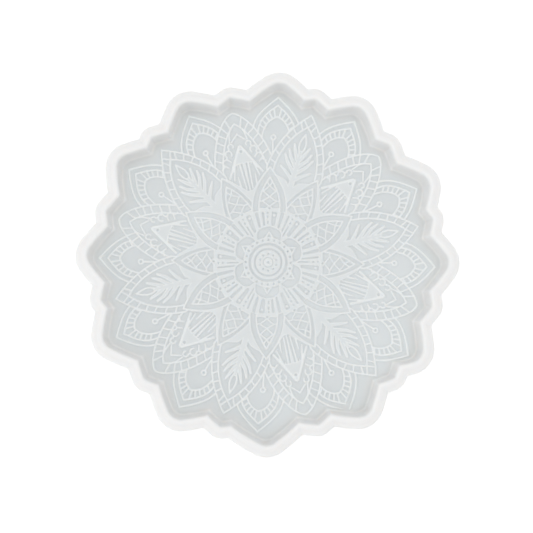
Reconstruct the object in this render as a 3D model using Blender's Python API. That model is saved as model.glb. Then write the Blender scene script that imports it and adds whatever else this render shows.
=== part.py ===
"""Scalloped silicone mould for casting a resin coaster, with a raised mandala on its floor.

The floor sheet follows the same scalloped outline as the wall that stands on it. The relief on
the floor has six equal sectors. Each motif is a flat raised figure, cut back where the motif in
front of it lies over it. Plan dimensions are in millimetres until a mesh is made.
"""

from math import cos, radians, sin

import bmesh
import bpy
from mathutils import Vector
from mathutils.geometry import delaunay_2d_cdt

MM = 0.001

# Outline: twelve big lobes in six pairs, with a small lobe between each two big ones.
SECTORS = 6
SECTOR_DEG = 360.0 / SECTORS
FIRST_LOBE_DEG = 27.0
PAIR_DRIFT_DEG = (-0.2, -0.6, -1.0, -0.4, 3.0, 0.4)
BIG_TIP_R = 57.5
BIG_CAP_R = 7.6
SMALL_CAP_R = 5.0
NOTCH_FILLET_R = 0.9
MIN_CAP_R = 0.8
SECTOR_CORNERS = (
    (0.0, BIG_TIP_R, "big"),
    (11.0, 50.3, "notch"),
    (17.0, 52.4, "small"),
    (21.6, 50.7, "notch"),
    (32.4, BIG_TIP_R, "big"),
    (42.1, 50.8, "notch"),
    (47.0, 52.8, "small"),
    (50.4, 51.5, "notch"),
)
ARC_STEPS = {"big": 5, "small": 3, "notch": 1}

# Heights and thicknesses.
GAP = 0.3
HEIGHT = 10.0
FLOOR_THICKNESS = 2.5
FLOOR_EDGE_CHAMFER = 0.5
WALL_WIDTH = 3.7
RELIEF_HEIGHT = 0.4
WALL_FOOT = FLOOR_THICKNESS + GAP
RELIEF_FOOT = FLOOR_THICKNESS + GAP
SHARP_EDGE_DEG = 40.0
# Section of the rim, outer face first: inset from the outer face, and drop below the crest.
RIM_SECTION = (
    (0.0, 1.7),
    (0.25, 1.0),
    (0.8, 0.55),
    (1.8, 0.3),
    (2.4, 0.0),
    (3.1, 0.05),
    (3.5, 0.35),
    (WALL_WIDTH, 1.3),
)

# Relief: bearings of each motif's axis in the first sector, and its line width.
PATTERN_SCALE = 1.028
LEAF_DEG = 73.6
SCROLL_DEG = 103.8
POINTED_DEGS = (86.4, 58.5)
FRONT_LATTICE_DEG = 88.8
BACK_LATTICE_DEG = 58.9
FLOWER_DEG = 88.1
LINE = 0.6
JOIN_BAND = 0.5

# Side curves from tip to foot: cubic control points as (along the axis, away from it).
LEAF_OUTER = ((44.6, 0.0), (41.5, 2.9), (35.5, 7.7), (26.5, 8.2))
LEAF_INNER = ((40.9, 0.0), (38.6, 2.6), (33.5, 6.6), (24.5, 6.2))
SCROLL_OUTER = ((44.5, 0.0), (43.9, 2.9), (37.5, 7.6), (28.0, 8.6))
SCROLL_INNER = ((41.3, 0.0), (39.6, 2.4), (35.0, 5.6), (25.0, 6.9))
POINTED_OUTER = ((48.1, 0.0), (45.2, 3.4), (42.5, 6.4), (38.5, 6.9))
POINTED_INNER = ((45.8, 0.0), (43.4, 2.9), (41.5, 5.4), (37.5, 5.3))
FRONT_LATTICE_OUTER = ((27.6, 0.0), (24.0, 2.9), (20.0, 5.6), (15.2, 4.8))
FRONT_LATTICE_INNER = ((24.7, 0.0), (21.5, 1.9), (19.0, 3.5), (15.2, 2.9))
BACK_LATTICE_OUTER = ((27.6, 0.0), (24.6, 2.2), (21.5, 3.8), (16.0, 4.8))
BACK_LATTICE_INNER = ((24.8, 0.0), (22.3, 1.8), (20.0, 3.0), (15.5, 3.3))
LONG_STEPS = 5
SHORT_STEPS = 4

# Feather and spear that fill the two kinds of big petal.
STEM_FOOT, STEM_TOP = 20.6, 34.0
STEM_WIDTH = 1.0
BARBS = ((31.6, 35.0, 2.3), (29.4, 33.4, 3.3), (27.4, 31.8, 4.2), (24.6, 28.0, 4.4))
BARB_WIDTH = 0.9
EYE_FOOT, EYE_MIDDLE, EYE_TIP, EYE_HALF_WIDTH = 33.4, 35.8, 38.6, 1.0
SPEAR_TIP, SPEAR_SHOULDER, SPEAR_FOOT = 34.8, 29.5, 22.2
SPEAR_SHOULDER_HALF_WIDTH = 3.2
STREAKS = ((0.0, SPEAR_FOOT, 0.0), (1.5, 22.8, 1.0), (3.0, 25.2, 3.8))
STREAK_ROOT = 30.0
STREAK_WIDTH = 0.6

# Centre: turned bands, a ring of pierced dots with six triangles, and the ring of rays.
BOSS_R = 3.3
INNER_RING = (4.1, 4.9)
DOT_RING = (5.6, 7.1)
DOTS = 24
DOT_CIRCLE_R = 6.4
DOT_R = 0.33
DOT_SIDES = 4
FIRST_DOT_DEG = 14.1
TRIANGLE_TIP_R = 9.1
TRIANGLE_FOOT_R = 6.95
TRIANGLE_HALF_DEG = 12.0
FLOWER_OUTLINE = (
    (-26.0, 8.0),
    (-22.0, 9.2),
    (-10.0, 10.0),
    (0.0, 10.4),
    (10.0, 10.0),
    (22.0, 9.2),
    (26.0, 8.0),
)
RAY_OUTER_R = 14.7
RAY_SLOT_R = (10.9, 14.1)
RAY_SLOTS = ((5.4, 1.2), (12.8, 1.9), (22.4, 2.6))
FIRST_RAY_DEG = 60.6
RAY_PERIOD_DEG = 30.0
ROUND_STEPS = 48

# Looks: translucent white silicone. Thicker regions read whiter.
FLOOR_COLOUR = (0.62, 0.67, 0.70, 1.0)
WALL_COLOUR = (0.88, 0.89, 0.87, 1.0)
RELIEF_COLOUR = (0.76, 0.80, 0.82, 1.0)
SILICONE_ROUGHNESS = 0.42


def polar(radius, bearing_deg):
    angle = radians(bearing_deg)
    return Vector((radius * cos(angle), radius * sin(angle)))


def on_axis(bearing_deg, points):
    """Places (along, aside) points of a motif on its axis; aside is positive clockwise."""
    along_axis = polar(PATTERN_SCALE, bearing_deg)
    aside_axis = polar(PATTERN_SCALE, bearing_deg - 90.0)
    return [along_axis * along + aside_axis * aside for along, aside in points]


def cubic(controls, steps):
    points = []
    for i in range(steps + 1):
        t = i / steps
        s = 1.0 - t
        weights = (s * s * s, 3 * s * s * t, 3 * s * t * t, t * t * t)
        along = sum(w * c[0] for w, c in zip(weights, controls))
        aside = sum(w * c[1] for w, c in zip(weights, controls))
        points.append((along, aside))
    return points


def both_sides(side):
    """A side curve from tip to foot, mirrored into one line from foot over the tip to foot."""
    mirrored = [(along, -aside) for along, aside in reversed(side[1:])]
    return mirrored + list(side)


def offset_line(points, distance, closed):
    """Moves each point sideways (to the left of travel) to a mitred parallel line."""
    count = len(points)
    moved = []
    for i, point in enumerate(points):
        before = points[i - 1] if closed or i > 0 else None
        after = points[(i + 1) % count] if closed or i < count - 1 else None
        normals = []
        for start, end in ((before, point), (point, after)):
            if start is not None and end is not None:
                run = (end - start).normalized()
                normals.append(Vector((-run.y, run.x)))
        mean = sum(normals, Vector((0.0, 0.0))).normalized()
        moved.append(point + mean * (distance / mean.dot(normals[0])))
    return moved


def counter_clockwise(polygon):
    doubled_area = sum(a.cross(b) for a, b in zip(polygon, polygon[1:] + polygon[:1]))
    return polygon if doubled_area > 0 else polygon[::-1]


def ribbon(points, width):
    """The quads of a line of the given width, with mitred joints."""
    left = offset_line(points, width / 2, closed=False)
    right = offset_line(points, -width / 2, closed=False)
    quads = []
    for i in range(len(points) - 1):
        quads.append(counter_clockwise([left[i], right[i], right[i + 1], left[i + 1]]))
    return quads


def grown(polygon, distance):
    return offset_line(counter_clockwise(polygon), -distance, closed=True)


def petal_area(bearing_deg, outer, steps):
    """The whole area of a petal out to the edge of its outer line, closed across its foot."""
    middle_line = on_axis(bearing_deg, both_sides(cubic(outer, steps)))
    return grown(middle_line, LINE / 2)


def region(strokes, carved=(), inside=None, band_along=()):
    """Triangles of the plan area in any stroke, or in the band along a neighbour, less the carved."""
    polygons = [counter_clockwise(list(p)) for p in [*strokes, *carved, *band_along]]
    if inside is not None:
        polygons.append(counter_clockwise(list(inside)))
    points = []
    faces = []
    for polygon in polygons:
        faces.append(list(range(len(points), len(points) + len(polygon))))
        points.extend(polygon)
    corners, _, triangles, _, _, owners = delaunay_2d_cdt(points, [], faces, 1, 1e-4)
    last_stroke = len(strokes)
    last_carved = last_stroke + len(carved)
    last_band = last_carved + len(band_along)
    kept = []
    for triangle, owner in zip(triangles, owners):
        drawn = any(i < last_stroke for i in owner)
        cut = any(last_stroke <= i < last_carved for i in owner)
        banded = any(last_carved <= i < last_band for i in owner) and last_band in owner
        within = inside is None or last_band in owner
        if within and not cut and (drawn or banded):
            kept.append(triangle)
    return corners, kept


def make_material(name, colour):
    material = bpy.data.materials.new(name)
    material.use_nodes = True
    shader = material.node_tree.nodes["Principled BSDF"]
    shader.inputs["Base Color"].default_value = colour
    shader.inputs["Roughness"].default_value = SILICONE_ROUGHNESS
    shader.inputs["Metallic"].default_value = 0.0
    return material


def add_object(name, shape, colour):
    mesh = bpy.data.meshes.new(name)
    bmesh.ops.recalc_face_normals(shape, faces=shape.faces)
    shape.to_mesh(mesh)
    shape.free()
    mesh.materials.append(make_material(name, colour))
    node = bpy.data.objects.new(name, mesh)
    node.parent = mould
    bpy.context.scene.collection.objects.link(node)
    return node


def largest_island(shape):
    """Deletes every group of faces but the biggest, which leaves one body."""
    unseen = set(shape.faces)
    islands = []
    while unseen:
        island = set()
        reached = [unseen.pop()]
        while reached:
            face = reached.pop()
            island.add(face)
            for edge in face.edges:
                for other in edge.link_faces:
                    if other in unseen:
                        unseen.remove(other)
                        reached.append(other)
        islands.append(island)
    islands.sort(key=lambda island: sum(face.calc_area() for face in island))
    spare = [face for island in islands[:-1] for face in island]
    bmesh.ops.delete(shape, geom=spare, context="FACES")


def raised_figure(name, plan):
    """A flat figure of the relief: its plan area, extruded up from just above the floor."""
    corners, triangles = plan
    shape = bmesh.new()
    vertices = [shape.verts.new((p.x * MM, p.y * MM, RELIEF_FOOT * MM)) for p in corners]
    for triangle in triangles:
        shape.faces.new([vertices[i] for i in triangle])
    largest_island(shape)
    loose = [v for v in shape.verts if not v.link_faces]
    bmesh.ops.delete(shape, geom=loose, context="VERTS")
    bmesh.ops.dissolve_limit(shape, angle_limit=radians(1.0), verts=shape.verts, edges=shape.edges)
    risen = bmesh.ops.extrude_face_region(shape, geom=shape.faces[:])
    top = [item for item in risen["geom"] if isinstance(item, bmesh.types.BMVert)]
    bmesh.ops.translate(shape, verts=top, vec=(0.0, 0.0, RELIEF_HEIGHT * MM))
    return add_object(name, shape, RELIEF_COLOUR)


def outline_corners():
    corners = []
    for sector, drift in enumerate(PAIR_DRIFT_DEG):
        start = FIRST_LOBE_DEG + drift + sector * SECTOR_DEG
        corners.extend((polar(r, start + turn), kind) for turn, r, kind in SECTOR_CORNERS)
    return corners


def outline(inset):
    """The scalloped outline, moved in by a distance, with its lobes and notches rounded."""
    corners = outline_corners()
    moved = offset_line([point for point, _ in corners], inset, closed=True)
    cap_radius = {
        "big": BIG_CAP_R - inset,
        "small": max(SMALL_CAP_R - inset, MIN_CAP_R),
        "notch": NOTCH_FILLET_R,
    }
    points = []
    count = len(moved)
    for i, corner in enumerate(moved):
        kind = corners[i][1]
        to_before = (moved[i - 1] - corner).normalized()
        to_after = (moved[(i + 1) % count] - corner).normalized()
        half_angle = to_before.angle(to_after) / 2
        reach = cap_radius[kind] / sin(half_angle)
        middle = corner + (to_before + to_after).normalized() * reach
        start = corner + to_before * (reach * cos(half_angle)) - middle
        sweep = start.angle_signed(corner + to_after * (reach * cos(half_angle)) - middle)
        steps = ARC_STEPS[kind]
        for step in range(steps + 1):
            angle = -sweep * step / steps
            turned = Vector((
                start.x * cos(angle) - start.y * sin(angle),
                start.x * sin(angle) + start.y * cos(angle),
            ))
            points.append(middle + turned)
    return points


def add_loop(shape, points, height):
    return [shape.verts.new((p.x * MM, p.y * MM, height * MM)) for p in points]


def skin(shape, loops):
    for lower, upper in zip(loops, loops[1:]):
        for i in range(len(lower)):
            j = (i + 1) % len(lower)
            shape.faces.new((lower[i], lower[j], upper[j], upper[i]))


def floor_sheet():
    shape = bmesh.new()
    loops = [
        add_loop(shape, outline(FLOOR_EDGE_CHAMFER), 0.0),
        add_loop(shape, outline(0.0), FLOOR_EDGE_CHAMFER),
        add_loop(shape, outline(0.0), FLOOR_THICKNESS),
    ]
    skin(shape, loops)
    shape.faces.new(loops[0][::-1])
    shape.faces.new(loops[-1])
    return add_object("floor_sheet", shape, FLOOR_COLOUR)


def perimeter_wall():
    shape = bmesh.new()
    loops = [add_loop(shape, outline(0.0), WALL_FOOT)]
    loops += [add_loop(shape, outline(inset), HEIGHT - drop) for inset, drop in RIM_SECTION]
    loops.append(add_loop(shape, outline(WALL_WIDTH), WALL_FOOT))
    skin(shape, loops + loops[:1])
    node = add_object("perimeter_wall", shape, WALL_COLOUR)
    node.data.shade_smooth()
    node.data.set_sharp_from_angle(angle=radians(SHARP_EDGE_DEG))
    return node


def circle(radius, steps=ROUND_STEPS, centre=Vector((0.0, 0.0))):
    return [centre + polar(radius, 360.0 * i / steps) for i in range(steps)]


def annulus(outer_r, inner_r):
    return region([circle(outer_r * PATTERN_SCALE)], [circle(inner_r * PATTERN_SCALE)])


def dot_ring():
    """The pierced ring, with a triangle on it inside each petal of the flower."""
    strokes = [circle(DOT_RING[1] * PATTERN_SCALE)]
    for sector in range(SECTORS):
        bearing = FLOWER_DEG + sector * SECTOR_DEG
        strokes.append([
            polar(TRIANGLE_TIP_R * PATTERN_SCALE, bearing),
            polar(TRIANGLE_FOOT_R * PATTERN_SCALE, bearing - TRIANGLE_HALF_DEG),
            polar(TRIANGLE_FOOT_R * PATTERN_SCALE, bearing + TRIANGLE_HALF_DEG),
        ])
    holes = [circle(DOT_RING[0] * PATTERN_SCALE)]
    for i in range(DOTS):
        centre = polar(DOT_CIRCLE_R * PATTERN_SCALE, FIRST_DOT_DEG + i * 360.0 / DOTS)
        holes.append(circle(DOT_R, DOT_SIDES, centre))
    return region(strokes, holes)


def flower_line():
    points = []
    for sector in range(SECTORS):
        bearing = FLOWER_DEG + sector * SECTOR_DEG
        points.extend(polar(r * PATTERN_SCALE, bearing + turn) for turn, r in FLOWER_OUTLINE)
    return points


def ray_ring():
    """The ring of rays between the flower and the lattice petals, with its slots open."""
    near, far = (r * PATTERN_SCALE for r in RAY_SLOT_R)
    slots = []
    for i in range(int(360.0 / RAY_PERIOD_DEG)):
        for turn, half_width in RAY_SLOTS:
            bearing = FIRST_RAY_DEG + i * RAY_PERIOD_DEG + turn
            first, last = bearing - half_width, bearing + half_width
            slots.append([polar(near, first), polar(far, first), polar(far, last), polar(near, last)])
    return region([circle(RAY_OUTER_R * PATTERN_SCALE)], [flower_line(), *slots])


def petal_lines(bearing_deg, outer, inner, steps):
    """The two border lines of a petal, each running from foot over tip to foot."""
    quads = []
    for controls in (outer, inner):
        quads += ribbon(on_axis(bearing_deg, both_sides(cubic(controls, steps))), LINE)
    return quads


def petal(bearing_deg, outer, inner, steps, fronts):
    """A petal's border lines, joined by a band along the edges of the figures in front."""
    return region(
        petal_lines(bearing_deg, outer, inner, steps),
        carved=[grown(front, GAP) for front in fronts],
        inside=petal_area(bearing_deg, outer, steps),
        band_along=[grown(front, GAP + JOIN_BAND) for front in fronts],
    )


def feather(bearing_deg, fronts):
    strokes = ribbon(on_axis(bearing_deg, [(STEM_FOOT, 0.0), (STEM_TOP, 0.0)]), STEM_WIDTH)
    for root, along, aside in BARBS:
        for side in (-1, 1):
            barb = on_axis(bearing_deg, [(root, 0.0), (along, side * aside)])
            strokes += ribbon(barb, BARB_WIDTH)
    eye = [
        (EYE_FOOT, 0.0),
        (EYE_MIDDLE, EYE_HALF_WIDTH),
        (EYE_TIP, 0.0),
        (EYE_MIDDLE, -EYE_HALF_WIDTH),
    ]
    strokes.append(on_axis(bearing_deg, eye))
    return region(strokes, carved=[grown(front, JOIN_BAND + 2 * GAP) for front in fronts])


def spear(bearing_deg, fronts):
    half = SPEAR_SHOULDER_HALF_WIDTH
    head = [(SPEAR_TIP, 0.0), (SPEAR_SHOULDER, half), (SPEAR_SHOULDER, -half)]
    strokes = [on_axis(bearing_deg, head)]
    for root_aside, foot_along, foot_aside in STREAKS:
        for side in (-1, 1) if root_aside else (1,):
            ends = [(STREAK_ROOT, side * root_aside), (foot_along, side * foot_aside)]
            strokes += ribbon(on_axis(bearing_deg, ends), STREAK_WIDTH)
    return region(strokes, carved=[grown(front, JOIN_BAND + 2 * GAP) for front in fronts])


for old in list(bpy.data.objects):
    bpy.data.objects.remove(old)

mould = bpy.data.objects.new("resin_mould", None)
bpy.context.scene.collection.objects.link(mould)

floor_sheet()
perimeter_wall()
raised_figure("centre_boss", region([circle(BOSS_R * PATTERN_SCALE, ROUND_STEPS // 2)]))
raised_figure("centre_ring", annulus(INNER_RING[1], INNER_RING[0]))
raised_figure("dotted_ring", dot_ring())
raised_figure("ray_ring", ray_ring())

turns = [sector * SECTOR_DEG for sector in range(SECTORS)]
rays = [circle(RAY_OUTER_R * PATTERN_SCALE)]
front_lattices = [
    petal_area(FRONT_LATTICE_DEG + turn, FRONT_LATTICE_OUTER, SHORT_STEPS) for turn in turns
]
back_lattices = [
    petal_area(BACK_LATTICE_DEG + turn, BACK_LATTICE_OUTER, SHORT_STEPS) for turn in turns
]
leaves = [petal_area(LEAF_DEG + turn, LEAF_OUTER, LONG_STEPS) for turn in turns]
scrolls = [petal_area(SCROLL_DEG + turn, SCROLL_OUTER, LONG_STEPS) for turn in turns]
lattices = front_lattices + back_lattices
big_petals = leaves + scrolls

# Each layer of petals is cut back by the layers in front of it.
LAYERS = (
    ("front_lattice_petal", FRONT_LATTICE_DEG, FRONT_LATTICE_OUTER, FRONT_LATTICE_INNER, SHORT_STEPS,
     rays),
    ("back_lattice_petal", BACK_LATTICE_DEG, BACK_LATTICE_OUTER, BACK_LATTICE_INNER, SHORT_STEPS,
     rays + front_lattices),
    ("leaf_petal", LEAF_DEG, LEAF_OUTER, LEAF_INNER, LONG_STEPS, lattices),
    ("scroll_petal", SCROLL_DEG, SCROLL_OUTER, SCROLL_INNER, LONG_STEPS, lattices + leaves),
    ("pointed_petal_a", POINTED_DEGS[0], POINTED_OUTER, POINTED_INNER, SHORT_STEPS, big_petals),
    ("pointed_petal_b", POINTED_DEGS[1], POINTED_OUTER, POINTED_INNER, SHORT_STEPS, big_petals),
)
for sector, turn in enumerate(turns):
    for name, bearing, outer, inner, steps, fronts in LAYERS:
        raised_figure(f"{name}_{sector}", petal(bearing + turn, outer, inner, steps, fronts))
    raised_figure(f"leaf_feather_{sector}", feather(LEAF_DEG + turn, lattices))
    raised_figure(f"scroll_spear_{sector}", spear(SCROLL_DEG + turn, lattices))
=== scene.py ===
"""Looks of the scalloped silicone resin mould.

The casting is one continuous skin: a floor with a raised mandala, an upright wall with a rounded
rim, and a flat underside. Plan dimensions are in millimetres until the mesh is made. The relief is
a height field: every motif gives the distance from a floor point to its raised lines.
"""

from math import cos, pi, radians, sin

import bpy
import numpy as np
from mathutils import Matrix, Vector


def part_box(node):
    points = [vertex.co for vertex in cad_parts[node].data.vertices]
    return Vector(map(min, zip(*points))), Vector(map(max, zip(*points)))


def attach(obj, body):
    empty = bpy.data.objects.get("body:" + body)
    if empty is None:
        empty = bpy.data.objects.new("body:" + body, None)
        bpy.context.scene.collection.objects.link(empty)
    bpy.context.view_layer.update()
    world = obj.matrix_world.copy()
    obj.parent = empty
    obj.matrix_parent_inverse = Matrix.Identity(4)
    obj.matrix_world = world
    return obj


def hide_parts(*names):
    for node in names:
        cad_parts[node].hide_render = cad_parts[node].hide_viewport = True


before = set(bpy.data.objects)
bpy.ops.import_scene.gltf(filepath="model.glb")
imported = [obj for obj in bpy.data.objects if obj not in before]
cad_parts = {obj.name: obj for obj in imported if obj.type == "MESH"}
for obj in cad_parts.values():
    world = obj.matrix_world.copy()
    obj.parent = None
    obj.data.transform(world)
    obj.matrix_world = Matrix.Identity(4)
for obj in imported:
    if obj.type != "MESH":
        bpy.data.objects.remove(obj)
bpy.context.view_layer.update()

MM = 0.001

# Outline, as the CAD floor and wall have it.
SECTOR_DEG = 60.0
FIRST_LOBE_DEG = 27.0
PAIR_DRIFT_DEG = (-0.2, -0.6, -1.0, -0.4, 3.0, 0.4)
BIG_TIP_R = 57.5
CAP_R = {"big": 7.6, "small": 5.0}
NOTCH_FILLET_R = 0.9
MIN_CAP_R = 0.8
SECTOR_CORNERS = (
    (0.0, BIG_TIP_R, "big"),
    (11.0, 50.3, "notch"),
    (17.0, 52.4, "small"),
    (21.6, 50.7, "notch"),
    (32.4, BIG_TIP_R, "big"),
    (42.1, 50.8, "notch"),
    (47.0, 52.8, "small"),
    (50.4, 51.5, "notch"),
)
ARC_STEPS = 24

# Heights, from the frame, and the wall.
FLOOR_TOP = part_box("floor_sheet")[1].z / MM
RIM_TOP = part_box("perimeter_wall")[1].z / MM
WALL_WIDTH = 3.7
FOOT_FILLET = 1.1
BOTTOM_FILLET = 0.6
# Rim from the inner face over the crest to the outer face: inset, and drop below the crest.
RIM_SECTION = (
    (3.7, 1.5), (3.66, 0.8), (3.5, 0.32), (3.2, 0.07), (2.8, 0.0), (2.35, 0.08), (1.95, 0.26),
    (1.5, 0.38), (1.0, 0.5), (0.6, 0.7), (0.25, 1.1), (0.06, 1.7), (0.0, 2.4),
)

# How white the thick parts look: 0 as the floor, 1 as the crest of the rim; the rim's outer band and the
# lower outer face are greyed by painted shade, and the inner face is lifted by painted light.
# Inner face: whiter as thick silicone, and lifted right from its foot by painted light coming through
# the wall.
INNER_WHITENESS_AND_GLOW = 0.92
INNER_RISES = (0.0, 0.05, 0.9)
# Painted shade: the rim's outer band, out from the crease, is greyer.
OUTER_SHADE_WHITENESS = 0.86
CREASE_INSETS = (1.7, 2.1)
# Painted shade: the outer face greys towards the bottom.
SIDE_SHADE_WHITENESS = 0.45
SIDE_DROPS = (0.8, 4.0)
# A loop this close to the inner face takes the face's whiteness.
FACE_SLACK = 0.01
# Painted warm shade beside the wall: full up to the first distance from the wall, and gone at the
# second.
WARM_SHADE_FADE = (1.0, 3.8)

# Mesh density: ring k of the floor has 6 k points. The rings follow the outline from ROUND_FROM out.
FLOOR_RINGS = 250
ROUND_FROM = 0.55
UNDERSIDE_RINGS = 24
UNDERSIDE_MARGIN = 1.5
# Loops of the wall's profile.
FOOT_STEPS = 10
INNER_STEPS = 5
OUTER_STEPS = 8
BOTTOM_STEPS = 4

# Relief: its edges slope over RELIEF_SLOPE, and a painted highlight whitens them up to the two depths
# below, in from the edge.
RELIEF_HEIGHT = 0.36
RELIEF_SLOPE = 0.30
EDGE_HIGHLIGHT_DEPTHS = (0.22, 0.38)
# Radius, and how strong the painted highlight on the edges is there.
EDGE_HIGHLIGHT_STRENGTH = ((0.0, 1.0), (1.3, 1.0), (1.8, 0.3), (20.0, 0.6), (36.0, 1.0))
LINE = 0.50
FINE_LINE = 0.46

# The pattern: bearings of the motifs in the first sector, and where the rays and the petals meet.
PATTERN_SCALE = 1.028
RAYS_END_R = 15.15
PETALS_START_R = 14.9
LEAF_DEG = 73.6
SCROLL_DEG = 103.8
POINTED_DEGS = (86.4, 58.5)
FRONT_LATTICE_DEG = 88.8
BACK_LATTICE_DEG = 58.9
FLOWER_DEG = 88.1

# Control points of each petal's side, from its tip: along the petal's axis, and aside.
LEAF_OUTER = ((44.6, 0.0), (41.5, 2.9), (35.5, 7.7), (26.5, 8.2))
LEAF_INNER = ((40.9, 0.0), (38.6, 2.6), (33.5, 6.6), (24.5, 6.2))
SCROLL_OUTER = ((44.5, 0.0), (43.9, 2.9), (37.5, 7.6), (28.0, 8.6))
SCROLL_INNER = ((41.3, 0.0), (39.6, 2.4), (35.0, 5.6), (25.0, 6.9))
POINTED_OUTER = ((48.1, 0.0), (45.2, 3.4), (42.5, 6.4), (38.5, 6.9))
POINTED_MIDDLE = ((45.8, 0.0), (43.4, 2.9), (41.5, 5.4), (37.5, 5.3))
POINTED_INNER = ((42.4, 0.0), (41.9, 1.9), (39.8, 3.9), (36.0, 4.1))
FRONT_LATTICE_OUTER = ((27.6, 0.0), (24.0, 2.9), (20.0, 5.6), (14.0, 4.8))
FRONT_LATTICE_INNER = ((24.7, 0.0), (21.5, 1.9), (19.0, 3.5), (14.0, 2.9))
BACK_LATTICE_OUTER = ((27.6, 0.0), (24.6, 2.2), (21.5, 3.8), (14.0, 5.2))
BACK_LATTICE_INNER = ((24.8, 0.0), (22.3, 1.8), (20.0, 3.0), (14.0, 3.6))
CURVE_STEPS = 14
# Where a petal's sides end, under the petals in front of it.
HIDDEN_FOOT = (13.0, 3.0)
POINTED_FOOT = (29.5, 3.5)


# ---------------------------------------------------------------- outline

def polar(radius, bearing_deg):
    angle = radians(bearing_deg)
    return Vector((radius * cos(angle), radius * sin(angle)))


def outline_corners():
    corners = []
    for sector, drift in enumerate(PAIR_DRIFT_DEG):
        start = FIRST_LOBE_DEG + drift + sector * SECTOR_DEG
        corners.extend((polar(r, start + turn), kind) for turn, r, kind in SECTOR_CORNERS)
    return corners


def moved_in(points, distance):
    """A closed outline, moved in by a distance with mitred corners."""
    moved = []
    for i, point in enumerate(points):
        before = (point - points[i - 1]).normalized()
        after = (points[(i + 1) % len(points)] - point).normalized()
        normals = [Vector((-run.y, run.x)) for run in (before, after)]
        mean = (normals[0] + normals[1]).normalized()
        moved.append(point + mean * (distance / mean.dot(normals[0])))
    return moved


def outline(inset):
    """The scalloped outline, moved in by a distance, with its lobes and notches rounded."""
    corners = outline_corners()
    moved = moved_in([point for point, _ in corners], inset)
    points = []
    for i, corner in enumerate(moved):
        kind = corners[i][1]
        radius = NOTCH_FILLET_R if kind == "notch" else max(CAP_R[kind] - inset, MIN_CAP_R)
        to_before = (moved[i - 1] - corner).normalized()
        to_after = (moved[(i + 1) % len(moved)] - corner).normalized()
        half_angle = to_before.angle(to_after) / 2
        reach = radius / sin(half_angle)
        middle = corner + (to_before + to_after).normalized() * reach
        start = corner + to_before * (reach * cos(half_angle)) - middle
        sweep = start.angle_signed(corner + to_after * (reach * cos(half_angle)) - middle)
        for step in range(ARC_STEPS + 1):
            turn = Matrix.Rotation(-sweep * step / ARC_STEPS, 2)
            points.append(middle + turn @ start)
    return points


def outline_radius(inset, bearings):
    """The outline's radius at each bearing (radians)."""
    points = np.array([(p.x, p.y) for p in outline(inset)])
    angle = np.arctan2(points[:, 1], points[:, 0]) % (2 * pi)
    order = np.argsort(angle)
    radius = np.hypot(points[:, 0], points[:, 1])
    return np.interp(bearings, angle[order], radius[order], period=2 * pi)


# ---------------------------------------------------------------- relief distances

FAR = 1e3
TINY = 1e-12


def cubic(controls, t):
    s = 1.0 - t
    weights = (s * s * s, 3 * s * s * t, 3 * s * t * t, t * t * t)
    return tuple(sum(w * c[i] for w, c in zip(weights, controls)) for i in (0, 1))


def side_curve(controls):
    return [cubic(controls, i / CURVE_STEPS) for i in range(CURVE_STEPS + 1)]


def arc(centre, radius, first_deg, last_deg, steps=10):
    """Points of an arc; 0 degrees points aside and 90 degrees points along the axis."""
    turns = [radians(first_deg + (last_deg - first_deg) * i / steps) for i in range(steps + 1)]
    return [(centre[0] + radius * sin(a), centre[1] + radius * cos(a)) for a in turns]


def to_segment(along, aside, start, end):
    """Distance to a segment, and how far along it (0 to 1) the nearest point lies."""
    run = (end[0] - start[0], end[1] - start[1])
    length2 = max(run[0] ** 2 + run[1] ** 2, TINY)
    t = ((along - start[0]) * run[0] + (aside - start[1]) * run[1]) / length2
    t = np.clip(t, 0.0, 1.0)
    distance = np.hypot(along - start[0] - t * run[0], aside - start[1] - t * run[1])
    return distance, t


def to_path(along, aside, path):
    nearest = np.full(along.shape, FAR)
    for start, end in zip(path, path[1:]):
        nearest = np.minimum(nearest, to_segment(along, aside, start, end)[0])
    return nearest


def line(along, aside, path, width=LINE):
    return to_path(along, aside, path) - width / 2


def taper(along, aside, start, end, first_width, last_width):
    distance, t = to_segment(along, aside, start, end)
    return distance - (first_width + (last_width - first_width) * t) / 2


def area(along, aside, polygon):
    """Signed distance to a polygon, negative inside."""
    closed = list(polygon) + [polygon[0]]
    inside = np.zeros(along.shape, bool)
    for (u0, v0), (u1, v1) in zip(closed, closed[1:]):
        crosses = (v0 > aside) != (v1 > aside)
        at = u0 + (aside - v0) * (u1 - u0) / ((v1 - v0) or TINY)
        inside ^= crosses & (along < at)
    distance = to_path(along, aside, closed)
    return np.where(inside, -distance, distance)


def petal_area(along, aside, controls, foot=HIDDEN_FOOT):
    """Signed distance to the area between a side curve and its mirror image, down to a foot."""
    curve = side_curve(controls) + [foot]
    mirrored = [(u, -v) for u, v in reversed(curve[1:])]
    return area(along, aside, mirrored + curve)


def outlined(signed):
    return np.abs(signed) - LINE / 2


def rungs(along, side, inner, outer, spots):
    """Bars across a border. Each spot is how far down the inner and the outer curve its ends are."""
    nearest = np.full(along.shape, FAR)
    for from_t, to_t in spots:
        bar = [cubic(inner, from_t), cubic(outer, to_t)]
        nearest = np.minimum(nearest, line(along, side, bar, FINE_LINE))
    return nearest


def union(*signed):
    return np.minimum.reduce(signed)


def pattern_radius(points):
    return np.hypot(points[:, 0], points[:, 1]) / PATTERN_SCALE


def fold(points, axis_deg, period_deg=SECTOR_DEG):
    """Places points (x, y) on the nearest copy of an axis: along it, and aside clockwise."""
    bearing = np.degrees(np.arctan2(points[:, 1], points[:, 0]))
    off = np.radians((axis_deg - bearing + period_deg / 2) % period_deg - period_deg / 2)
    radius = pattern_radius(points)
    return radius * np.cos(off), radius * np.sin(off)


# ---------------------------------------------------------------- motifs

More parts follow.
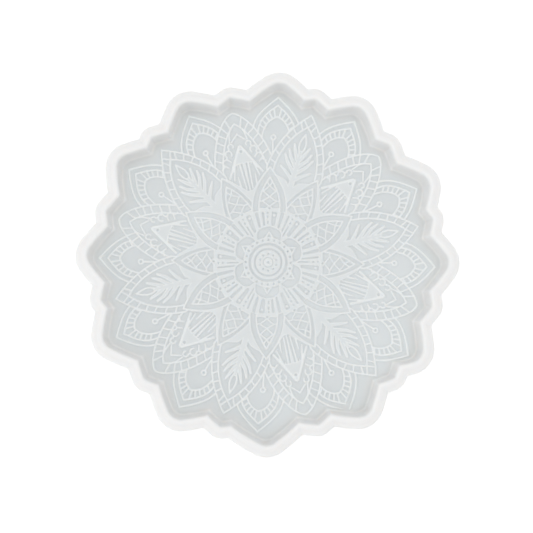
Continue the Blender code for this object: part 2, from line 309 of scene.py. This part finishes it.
def lattice_petal(points, axis_deg, outer, inner):
    """Returns the petal's area and its raised lines: a plain border groove round a diamond lattice."""
    along, aside = fold(points, axis_deg)
    side = np.abs(aside)
    whole = petal_area(along, aside, outer)
    core = petal_area(along, aside, inner)
    zigzag = [
        (23.3, 0.8), (22.1, 0.0), (20.6, 1.8), (18.95, 0.0), (17.7, 2.0), (16.2, 0.0), (15.2, 1.3),
    ]
    ties = union(
        line(along, side, [(20.6, 1.8), (20.3, 2.6)], FINE_LINE),
        line(along, side, [(17.7, 2.0), (17.5, 3.2)], FINE_LINE),
    )
    sill = line(along, side, [(14.9, 0.0), (14.9, 3.0)], 1.6)
    lattice = np.maximum(union(line(along, side, zigzag, FINE_LINE), ties, sill), core)
    lattice = np.maximum(lattice, 0.34 - np.hypot(along - 15.65, aside))
    return whole, union(outlined(whole), outlined(core), lattice)


def leaf_petal(points):
    """A border of rungs round a feather with an open eye, over a plateau at the petal's foot."""
    along, aside = fold(points, LEAF_DEG)
    side = np.abs(aside)
    whole = petal_area(along, aside, LEAF_OUTER)
    core = petal_area(along, aside, LEAF_INNER)
    spots = [
        (0.0, 0.17), (0.15, 0.24), (0.30, 0.40), (0.44, 0.54), (0.59, 0.65), (0.73, 0.78), (0.85, 0.90),
    ]
    bars = rungs(along, side, LEAF_INNER, LEAF_OUTER, spots)
    barbs = (
        ((31.0, 0.5), (33.2, 1.5), (35.1, 2.3)),
        ((28.9, 0.4), (31.3, 2.45), (33.3, 3.35)),
        ((27.0, 0.4), (29.6, 2.9), (31.7, 4.15)),
        ((25.0, 0.4), (26.7, 2.5), (28.0, 4.4)),
    )
    feather = taper(along, side, (20.0, 0.0), (33.2, 0.0), 2.0, 1.1)
    for root, knee, tip in barbs:
        feather = union(feather, taper(along, side, root, knee, 1.2, 0.95))
        feather = union(feather, taper(along, side, knee, tip, 0.95, 0.6))
    eye = [(33.2, 0.35), (34.4, 0.85), (35.8, 0.95), (37.2, 0.6), (38.7, 0.0)]
    feather = union(feather, line(along, side, eye))
    base = [
        (14.0, -1.0), (22.8, -1.0), (22.8, 0.6), (23.7, 1.2), (24.4, 2.0), (24.8, 3.2), (25.1, 4.8),
        (26.0, 6.0), (26.8, 7.4), (14.0, 7.0),
    ]
    plateau = area(along, side, base)
    return whole, union(outlined(whole), outlined(core), bars, feather, plateau)


def scroll_petal(points):
    """A border of rungs round curls and a pierced, streaked spear, over a plateau."""
    along, aside = fold(points, SCROLL_DEG)
    side = np.abs(aside)
    whole = petal_area(along, aside, SCROLL_OUTER)
    core = petal_area(along, aside, SCROLL_INNER)
    spots = [(0.19, 0.25), (0.31, 0.41), (0.41, 0.53), (0.54, 0.63), (0.67, 0.74), (0.78, 0.85)]
    bars = rungs(along, side, SCROLL_INNER, SCROLL_OUTER, spots)
    strap = line(along, side, [(39.9, 1.6), (38.4, 2.3), (36.2, 2.6)], FINE_LINE)
    peak = line(along, side, [(38.2, 0.0), (36.2, 2.0)], FINE_LINE)
    curls = union(
        line(along, side, arc((35.0, 2.6), 0.75, 215, -40) + [(34.0, 3.4)], FINE_LINE),
        line(along, side, arc((33.0, 3.7), 0.95, 225, -50) + [(31.7, 4.5)], FINE_LINE),
        line(along, side, [(30.7, 3.5)] + arc((30.6, 4.8), 1.0, 125, -60) + [(29.1, 4.5)], FINE_LINE),
        line(along, side, [(29.6, 5.5), (29.0, 6.5)], FINE_LINE),
    )
    head_side = [(35.2, 0.0), (27.4, 4.0), (27.5, 3.3), (29.3, 2.4), (29.6, -1.0), (35.2, -1.0)]
    hole = 0.42 - np.hypot(along - 33.0, aside)
    spear = np.maximum(area(along, side, head_side), hole)
    streaks = (
        ((30.0, 0.0), (21.5, 0.0), 0.95, 0.35),
        ((30.0, 1.3), (22.0, 0.9), 0.55, 0.4),
        ((23.0, 2.35), (26.0, 2.5), 0.6, 0.3),
        ((29.9, 2.1), (29.0, 2.1), 0.5, 0.3),
        ((34.6, 0.35), (26.1, 4.8), 0.5, 0.7),
        ((29.6, 2.7), (25.2, 3.7), 0.5, 0.4),
    )
    for root, foot, first, last in streaks:
        spear = union(spear, taper(along, side, root, foot, first, last))
    base = [
        (14.0, -1.0), (21.4, -1.0), (21.4, 0.7), (22.9, 2.2), (24.3, 3.8), (25.5, 5.0), (26.6, 7.2),
        (14.0, 7.0),
    ]
    plateau = area(along, side, base)
    return whole, union(outlined(whole), outlined(core), bars, strap, peak, curls, spear, plateau)


def pointed_petal(points, axis_deg):
    """Three outlines, rungs and a ringed stalk. Nothing lies behind it, so only lines are returned."""
    along, aside = fold(points, axis_deg)
    side = np.abs(aside)
    whole, middle, core = (
        petal_area(along, aside, controls, POINTED_FOOT)
        for controls in (POINTED_OUTER, POINTED_MIDDLE, POINTED_INNER)
    )
    spots = [(0.10, 0.13), (0.24, 0.30), (0.40, 0.46), (0.56, 0.62), (0.72, 0.78)]
    bars = rungs(along, side, POINTED_INNER, POINTED_MIDDLE, spots)
    ring = outlined(np.hypot(along - 36.35, aside + 0.8) - 0.65)
    stalk = line(along, aside, [(35.7, -0.8), (31.4, -0.75)])
    return union(outlined(whole), outlined(middle), outlined(core), bars, ring, stalk)


def flower_radius(off_deg):
    """Radius of the flower's line at an angle off a petal's axis."""
    return np.interp(
        np.abs(off_deg),
        (0.0, 6.0, 13.0, 18.0, 21.5, 24.0, 26.5, 30.0),
        (10.6, 10.35, 10.1, 9.75, 9.3, 8.5, 7.6, 7.2),
    )


def centre(points):
    """The rays, flower and turned bands inside the lattice petals."""
    radius = pattern_radius(points)
    along, aside = fold(points, FLOWER_DEG)
    flower = radius - flower_radius(np.degrees(np.arctan2(aside, along)))
    rays = np.maximum(radius - RAYS_END_R, -flower - LINE / 2)
    # Bearing, radii of both ends, and width at each end.
    slots = (
        (82.7, 11.05, 14.3, 1.05, 1.5),
        (73.6, 10.6, 14.6, 0.65, 0.95),
        (66.0, 9.9, 14.3, 0.4, 0.6),
        (60.7, 8.7, 11.7, 0.36, 0.42),
        (60.7, 12.9, 13.1, 0.5, 0.5),
        (60.7, 14.2, 14.3, 0.45, 0.45),
        (53.3, 9.8, 14.1, 0.9, 1.4),
        (43.3, 10.5, 14.3, 0.6, 0.95),
        (36.0, 10.9, 14.2, 0.55, 0.7),
        (30.6, 11.3, 11.8, 0.45, 0.45),
        (30.6, 12.9, 13.3, 0.45, 0.5),
        (30.6, 14.2, 14.3, 0.45, 0.45),
    )
    for slot_deg, first, last, first_width, last_width in slots:
        along, aside = fold(points, slot_deg)
        rays = np.maximum(rays, -taper(along, aside, (first, 0.0), (last, 0.0), first_width, last_width))
    for dot_deg in (82.7, 53.1):
        along, aside = fold(points, dot_deg)
        rays = union(rays, np.hypot(along - 13.7, aside) - 0.42)

    # A ring of 24 holes that carries six pierced triangles.
    along, aside = fold(points, FLOWER_DEG)
    triangle = area(along, aside, [(9.2, 0.0), (7.0, 1.45), (7.0, -1.45)])
    notch = area(along, aside, [(8.3, 0.0), (7.35, 0.55), (7.35, -0.55)])
    ring = np.abs(radius - 6.4) - 0.8
    ring = np.maximum(union(ring, triangle), -notch)
    along, aside = fold(points, 14.1, 15.0)
    ring = np.maximum(ring, 0.33 - np.hypot(along - 6.45, aside))

    # Turned bands, the second with ten holes.
    boss = union(np.abs(radius - 0.8) - 0.42, np.abs(radius - 2.55) - 1.05)
    along, aside = fold(points, 18.0, 36.0)
    boss = np.maximum(boss, 0.27 - np.hypot(along - 2.4, aside))
    band = np.abs(radius - 4.5) - 0.42
    return union(rays, ring, boss, band)


def relief_distance(points):
    """Signed distance to the whole raised pattern; each layer is hidden where a front one covers it."""
    raised = centre(points)
    covered = pattern_radius(points) - PETALS_START_R
    layers = (
        lattice_petal(points, FRONT_LATTICE_DEG, FRONT_LATTICE_OUTER, FRONT_LATTICE_INNER),
        lattice_petal(points, BACK_LATTICE_DEG, BACK_LATTICE_OUTER, BACK_LATTICE_INNER),
        leaf_petal(points),
        scroll_petal(points),
    )
    for whole, lines in layers:
        raised = union(raised, np.maximum(lines, -covered - LINE / 2))
        covered = union(covered, whole)
    for axis_deg in POINTED_DEGS:
        raised = union(raised, np.maximum(pointed_petal(points, axis_deg), -covered - LINE / 2))
    return raised


# ---------------------------------------------------------------- mesh of the casting

def smooth_step(x):
    x = np.clip(x, 0.0, 1.0)
    return x * x * (3.0 - 2.0 * x)


def floor_rings(rings, inset):
    """Plan points of concentric rings, round in the middle and following the outline at the edge."""
    counts = [6 * k for k in range(1, rings + 1)]
    bearings = np.concatenate([2 * pi * np.arange(n) / n for n in counts])
    fraction = np.repeat(np.arange(1, rings + 1) / rings, counts)
    edge = outline_radius(inset, bearings)
    follow = smooth_step((fraction - ROUND_FROM) / (1.0 - ROUND_FROM))
    radius = fraction * (edge.mean() * (1.0 - follow) + edge * follow)
    points = np.stack([radius * np.cos(bearings), radius * np.sin(bearings)], axis=1)
    return np.vstack([[0.0, 0.0], points]), counts


def stitch(inner, inner_count, outer, outer_count):
    """Triangles between two rings that start at the same bearing, facing up."""
    triangles = []
    i = j = 0
    while i < inner_count or j < outer_count:
        here = inner + i % inner_count
        there = outer + j % outer_count
        if (j + 1) * inner_count <= (i + 1) * outer_count:
            j += 1
            triangles.append((here, there, outer + j % outer_count))
        else:
            i += 1
            triangles.append((here, there, inner + i % inner_count))
    return triangles


def disc_triangles(counts, first):
    """Triangles of a disc of rings whose centre is point number first."""
    inner, inner_count = first + 1, counts[0]
    triangles = [(first, inner + i, inner + (i + 1) % inner_count) for i in range(inner_count)]
    for outer_count in counts[1:]:
        outer = inner + inner_count
        triangles += stitch(inner, inner_count, outer, outer_count)
        inner, inner_count = outer, outer_count
    return triangles


def rounded(points, steps=3):
    """A smooth line through all the points."""
    points = [np.array(point) for point in points]
    padded = [2 * points[0] - points[1], *points, 2 * points[-1] - points[-2]]
    smooth = []
    for before, start, end, after in zip(padded, padded[1:], padded[2:], padded[3:]):
        bend = 2 * before - 5 * start + 4 * end - after
        twist = 3 * start - before - 3 * end + after
        for t in np.arange(steps) / steps:
            smooth.append(start + 0.5 * t * (end - before + bend * t + twist * t * t))
    return smooth + [points[-1]]


def wall_profile():
    """Inset and height of each loop: foot fillet, inner face, rounded rim, outer face, bottom edge."""
    profile = []
    for angle in np.linspace(0.0, pi / 2, FOOT_STEPS + 1)[1:]:
        inset = WALL_WIDTH + FOOT_FILLET * (1.0 - sin(angle))
        profile.append((inset, FLOOR_TOP + FOOT_FILLET * (1.0 - cos(angle))))
    inner_top = RIM_TOP - RIM_SECTION[0][1]
    for height in np.linspace(FLOOR_TOP + FOOT_FILLET, inner_top, INNER_STEPS + 1)[1:-1]:
        profile.append((WALL_WIDTH, height))
    for inset, drop in rounded(RIM_SECTION):
        profile.append((inset, RIM_TOP - drop))
    outer_top = RIM_TOP - RIM_SECTION[-1][1]
    for height in np.linspace(outer_top, BOTTOM_FILLET, OUTER_STEPS + 1)[1:-1]:
        profile.append((0.0, height))
    for angle in np.linspace(0.0, pi / 2, BOTTOM_STEPS + 1):
        profile.append((BOTTOM_FILLET * (1.0 - cos(angle)), BOTTOM_FILLET * (1.0 - sin(angle))))
    return profile


def floor_looks(plan):
    """Shares of relief, painted edge highlight and painted warm shade at each plan point of the floor.
    """
    distance = relief_distance(plan)
    radius = np.hypot(plan[:, 0], plan[:, 1])
    relief = smooth_step(0.5 - distance / RELIEF_SLOPE)
    narrow, wide = EDGE_HIGHLIGHT_DEPTHS
    # A painted highlight along the relief's edges, full on thin lines where both edges meet.
    edge_highlight = relief * smooth_step((wide + distance) / (wide - narrow))
    edge_highlight *= np.interp(radius, *zip(*EDGE_HIGHLIGHT_STRENGTH))
    # Painted warm shade on the floor beside the wall.
    from_wall = outline_radius(WALL_WIDTH, np.arctan2(plan[:, 1], plan[:, 0])) - radius
    full, gone = WARM_SHADE_FADE
    shade_tint = 1.0 - smooth_step((from_wall - full) / (gone - full))
    return relief, edge_highlight, shade_tint


def wall_whiteness_and_painted_light(inset, height):
    if inset < WALL_WIDTH - FACE_SLACK:
        # Painted shade on the rim's outer band and down the outer face.
        rim = np.interp(inset, CREASE_INSETS, (OUTER_SHADE_WHITENESS, 1.0))
        return rim * np.interp(RIM_TOP - height, SIDE_DROPS, (1.0, SIDE_SHADE_WHITENESS))
    # Inner face: painted light from its foot up, over the thick wall's whiteness.
    rise = (height - FLOOR_TOP) / (RIM_TOP - FLOOR_TOP)
    return np.interp(rise, INNER_RISES, (0.0, INNER_WHITENESS_AND_GLOW, 1.0))


def casting():
    """One closed skin: the floor's disc, the loops of the wall's profile, and the underside's disc."""
    floor_plan, counts = floor_rings(FLOOR_RINGS, WALL_WIDTH + FOOT_FILLET)
    relief, edge_highlight, shade_tint = floor_looks(floor_plan)
    points = [np.column_stack([floor_plan, FLOOR_TOP + RELIEF_HEIGHT * relief])]
    faces = disc_triangles(counts, 0)

    around = counts[-1]
    bearings = 2 * pi * np.arange(around) / around
    previous = len(floor_plan) - around
    start = len(floor_plan)
    profile = wall_profile()
    for inset, height in profile:
        radius = outline_radius(inset, bearings)
        x, y = radius * np.cos(bearings), radius * np.sin(bearings)
        points.append(np.column_stack([x, y, np.full(around, height)]))
        for i in range(around):
            j = (i + 1) % around
            faces.append((previous + i, start + i, start + j, previous + j))
        previous = start
        start += around

    under_plan, under_counts = floor_rings(UNDERSIDE_RINGS, BOTTOM_FILLET + UNDERSIDE_MARGIN)
    points.append(np.column_stack([under_plan, np.zeros(len(under_plan))]))
    under = disc_triangles(under_counts, start)
    under += stitch(start + len(under_plan) - under_counts[-1], under_counts[-1], previous, around)
    faces += [triangle[::-1] for triangle in under]

    mesh = bpy.data.meshes.new("silicone_casting")
    mesh.from_pydata(np.vstack(points) * MM, [], faces)
    no_wall = np.zeros(len(profile) * around)
    no_underside = np.zeros(len(under_plan))
    whiteness_and_painted_light = [wall_whiteness_and_painted_light(inset, height) for inset, height in profile]
    shares = {
        "relief": (relief, no_wall, no_underside),
        "edge_highlight": (edge_highlight, no_wall, no_underside),
        # The painted warm shade covers the whole wall, under its whiteness.
        "shade_tint": (shade_tint, np.ones(len(profile) * around), no_underside),
        # Whiter thick silicone, with painted shade on the outer side and painted light on the inner
        # face.
        "wall": (np.zeros(len(floor_plan)), np.repeat(whiteness_and_painted_light, around), no_underside),
    }
    for name, values in shares.items():
        layer = mesh.attributes.new(name, "FLOAT", "POINT")
        layer.data.foreach_set("value", np.concatenate(values).astype(np.float32))
    mesh.shade_smooth()
    mesh.update()
    piece = bpy.data.objects.new("silicone_casting", mesh)
    bpy.context.scene.collection.objects.link(piece)
    return piece


# ---------------------------------------------------------------- material

FLOOR_COLOUR = (0.745, 0.774, 0.784, 1.0)
CLOUDINESS = (0.97, 1.03)
# Painted warm shade, on the wall and on the floor beside it.
WARM_SHADE_COLOUR = (0.755, 0.769, 0.770, 1.0)
RELIEF_COLOUR = (0.774, 0.802, 0.810, 1.0)
# The relief's edges: a painted highlight.
EDGE_HIGHLIGHT_COLOUR = (0.867, 0.891, 0.894, 1.0)
WALL_COLOUR = (0.962, 0.966, 0.951, 1.0)


def silicone():
    """Milky translucent silicone: thin floor cool and greyer, raised lines and thick wall whiter;
    painted highlights on the relief's edges, painted shade on the wall's outer side and on the floor
    beside its foot, painted light on its inner face.
    """
    material = bpy.data.materials.new("milky_silicone")
    material.use_nodes = True
    nodes = material.node_tree.nodes
    links = material.node_tree.links
    shader = nodes["Principled BSDF"]

    def node(kind, **settings):
        made = nodes.new(kind)
        for key, value in settings.items():
            setattr(made, key, value)
        return made

    def attribute(name):
        return node("ShaderNodeAttribute", attribute_name=name).outputs["Fac"]

    def mix(share, first, second):
        made = node("ShaderNodeMix", data_type="RGBA")
        links.new(share, made.inputs["Factor"])
        for socket, colour in ((made.inputs["A"], first), (made.inputs["B"], second)):
            if isinstance(colour, tuple):
                socket.default_value = colour
            else:
                links.new(colour, socket)
        return made.outputs["Result"]

    place = node("ShaderNodeTexCoord").outputs["Object"]

    def noise(scale, detail, roughness=0.5):
        made = node("ShaderNodeTexNoise")
        links.new(place, made.inputs["Vector"])
        made.inputs["Scale"].default_value = scale
        made.inputs["Detail"].default_value = detail
        made.inputs["Roughness"].default_value = roughness
        return made.outputs["Fac"]

    def spread(value, low, high):
        """Maps a noise's middle range onto low to high."""
        made = node("ShaderNodeMapRange")
        links.new(value, made.inputs["Value"])
        made.inputs["From Min"].default_value = 0.3
        made.inputs["From Max"].default_value = 0.7
        made.inputs["To Min"].default_value = low
        made.inputs["To Max"].default_value = high
        return made.outputs["Result"]

    darker, lighter = (tuple(c * s for c in FLOOR_COLOUR[:3]) + (1.0,) for s in CLOUDINESS)
    colour = mix(spread(noise(45.0, 3.0), 0.0, 1.0), darker, lighter)
    # Painted warm shade on the wall and on the floor beside it.
    colour = mix(attribute("shade_tint"), colour, WARM_SHADE_COLOUR)
    colour = mix(attribute("relief"), colour, RELIEF_COLOUR)
    # Painted highlight on the relief's edges.
    colour = mix(attribute("edge_highlight"), colour, EDGE_HIGHLIGHT_COLOUR)
    # Whiter thick wall, with painted shade on its outer side and painted light on its inner face.
    colour = mix(attribute("wall"), colour, WALL_COLOUR)
    links.new(colour, shader.inputs["Base Color"])
    links.new(spread(noise(900.0, 4.0), 0.36, 0.5), shader.inputs["Roughness"])
    shader.inputs["Subsurface Weight"].default_value = 0.8
    shader.inputs["Subsurface Scale"].default_value = 0.0016
    shader.inputs["Subsurface Radius"].default_value = (1.0, 0.95, 0.9)
    shader.inputs["IOR"].default_value = 1.41

    def bump(height, strength, distance):
        made = node("ShaderNodeBump")
        made.inputs["Strength"].default_value = strength
        made.inputs["Distance"].default_value = distance
        links.new(height, made.inputs["Height"])
        return made

    fine = bump(noise(2600.0, 4.0, 0.6), 0.12, 0.00005)
    soft = bump(noise(160.0, 2.0), 0.35, 0.0002)
    links.new(fine.outputs["Normal"], soft.inputs["Normal"])
    links.new(soft.outputs["Normal"], shader.inputs["Normal"])
    return material


# ---------------------------------------------------------------- stage, light and camera

# Metres, from here on.
FLOOR_SIZE = 6.0
FLOOR_GAP = 0.0002
CAMERA_DISTANCE = 0.20
CAMERA_LEAN_DEG = (-1.4, -3.2)
VIEW_WIDTH = 0.1527
AIM = Vector((-0.00065, -0.00156, 0.0085))


def studio_white():
    """A matt white that glows a little, so that the floor shows pure white."""
    material = bpy.data.materials.new("studio_white")
    material.use_nodes = True
    shader = material.node_tree.nodes["Principled BSDF"]
    shader.inputs["Base Color"].default_value = (0.95, 0.95, 0.95, 1.0)
    shader.inputs["Roughness"].default_value = 0.9
    shader.inputs["Specular IOR Level"].default_value = 0.0
    shader.inputs["Emission Color"].default_value = (1.0, 1.0, 1.0, 1.0)
    shader.inputs["Emission Strength"].default_value = 0.22
    return material


def stage():
    bpy.ops.mesh.primitive_plane_add(size=FLOOR_SIZE, location=(0.0, 0.0, -FLOOR_GAP))
    sweep = bpy.context.object
    sweep.name = "studio_floor"
    sweep.data.materials.append(studio_white())


def soft_light(name, place, size, power):
    lamp = bpy.data.lights.new(name, "AREA")
    lamp.shape = "DISK"
    lamp.size = size
    lamp.energy = power
    holder = bpy.data.objects.new(name, lamp)
    holder.location = place
    holder.rotation_euler = (-Vector(place)).to_track_quat("-Z", "Y").to_euler()
    bpy.context.scene.collection.objects.link(holder)


def lights():
    world = bpy.data.worlds.new("studio")
    world.use_nodes = True
    background = world.node_tree.nodes["Background"]
    background.inputs["Color"].default_value = (1.0, 1.0, 1.0, 1.0)
    background.inputs["Strength"].default_value = 0.65
    bpy.context.scene.world = world
    soft_light("side_softbox", (-1.0, -0.35, 0.65), 1.1, 1.7)
    soft_light("top_softbox", (0.1, 0.1, 1.5), 1.0, 5.5)


def camera():
    """A close camera over the mould, leaning a little towards -X and -Y."""
    lens = bpy.data.cameras.new("camera")
    lens.sensor_width = 36.0
    lens.lens = lens.sensor_width * CAMERA_DISTANCE / VIEW_WIDTH
    holder = bpy.data.objects.new("camera", lens)
    lean_x, lean_y = (radians(a) for a in CAMERA_LEAN_DEG)
    back = Vector((sin(lean_x), sin(lean_y), 1.0)).normalized()
    right = Vector((0.0, 1.0, 0.0)).cross(back).normalized()
    up = back.cross(right)
    turn = Matrix((right, up, back)).transposed().to_4x4()
    holder.matrix_world = Matrix.Translation(AIM + back * CAMERA_DISTANCE) @ turn
    bpy.context.scene.collection.objects.link(holder)
    bpy.context.scene.camera = holder


bpy.context.scene.view_settings.view_transform = "Standard"
camera()
lights()
stage()
mould = casting()
mould.data.materials.append(silicone())
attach(mould, "root")
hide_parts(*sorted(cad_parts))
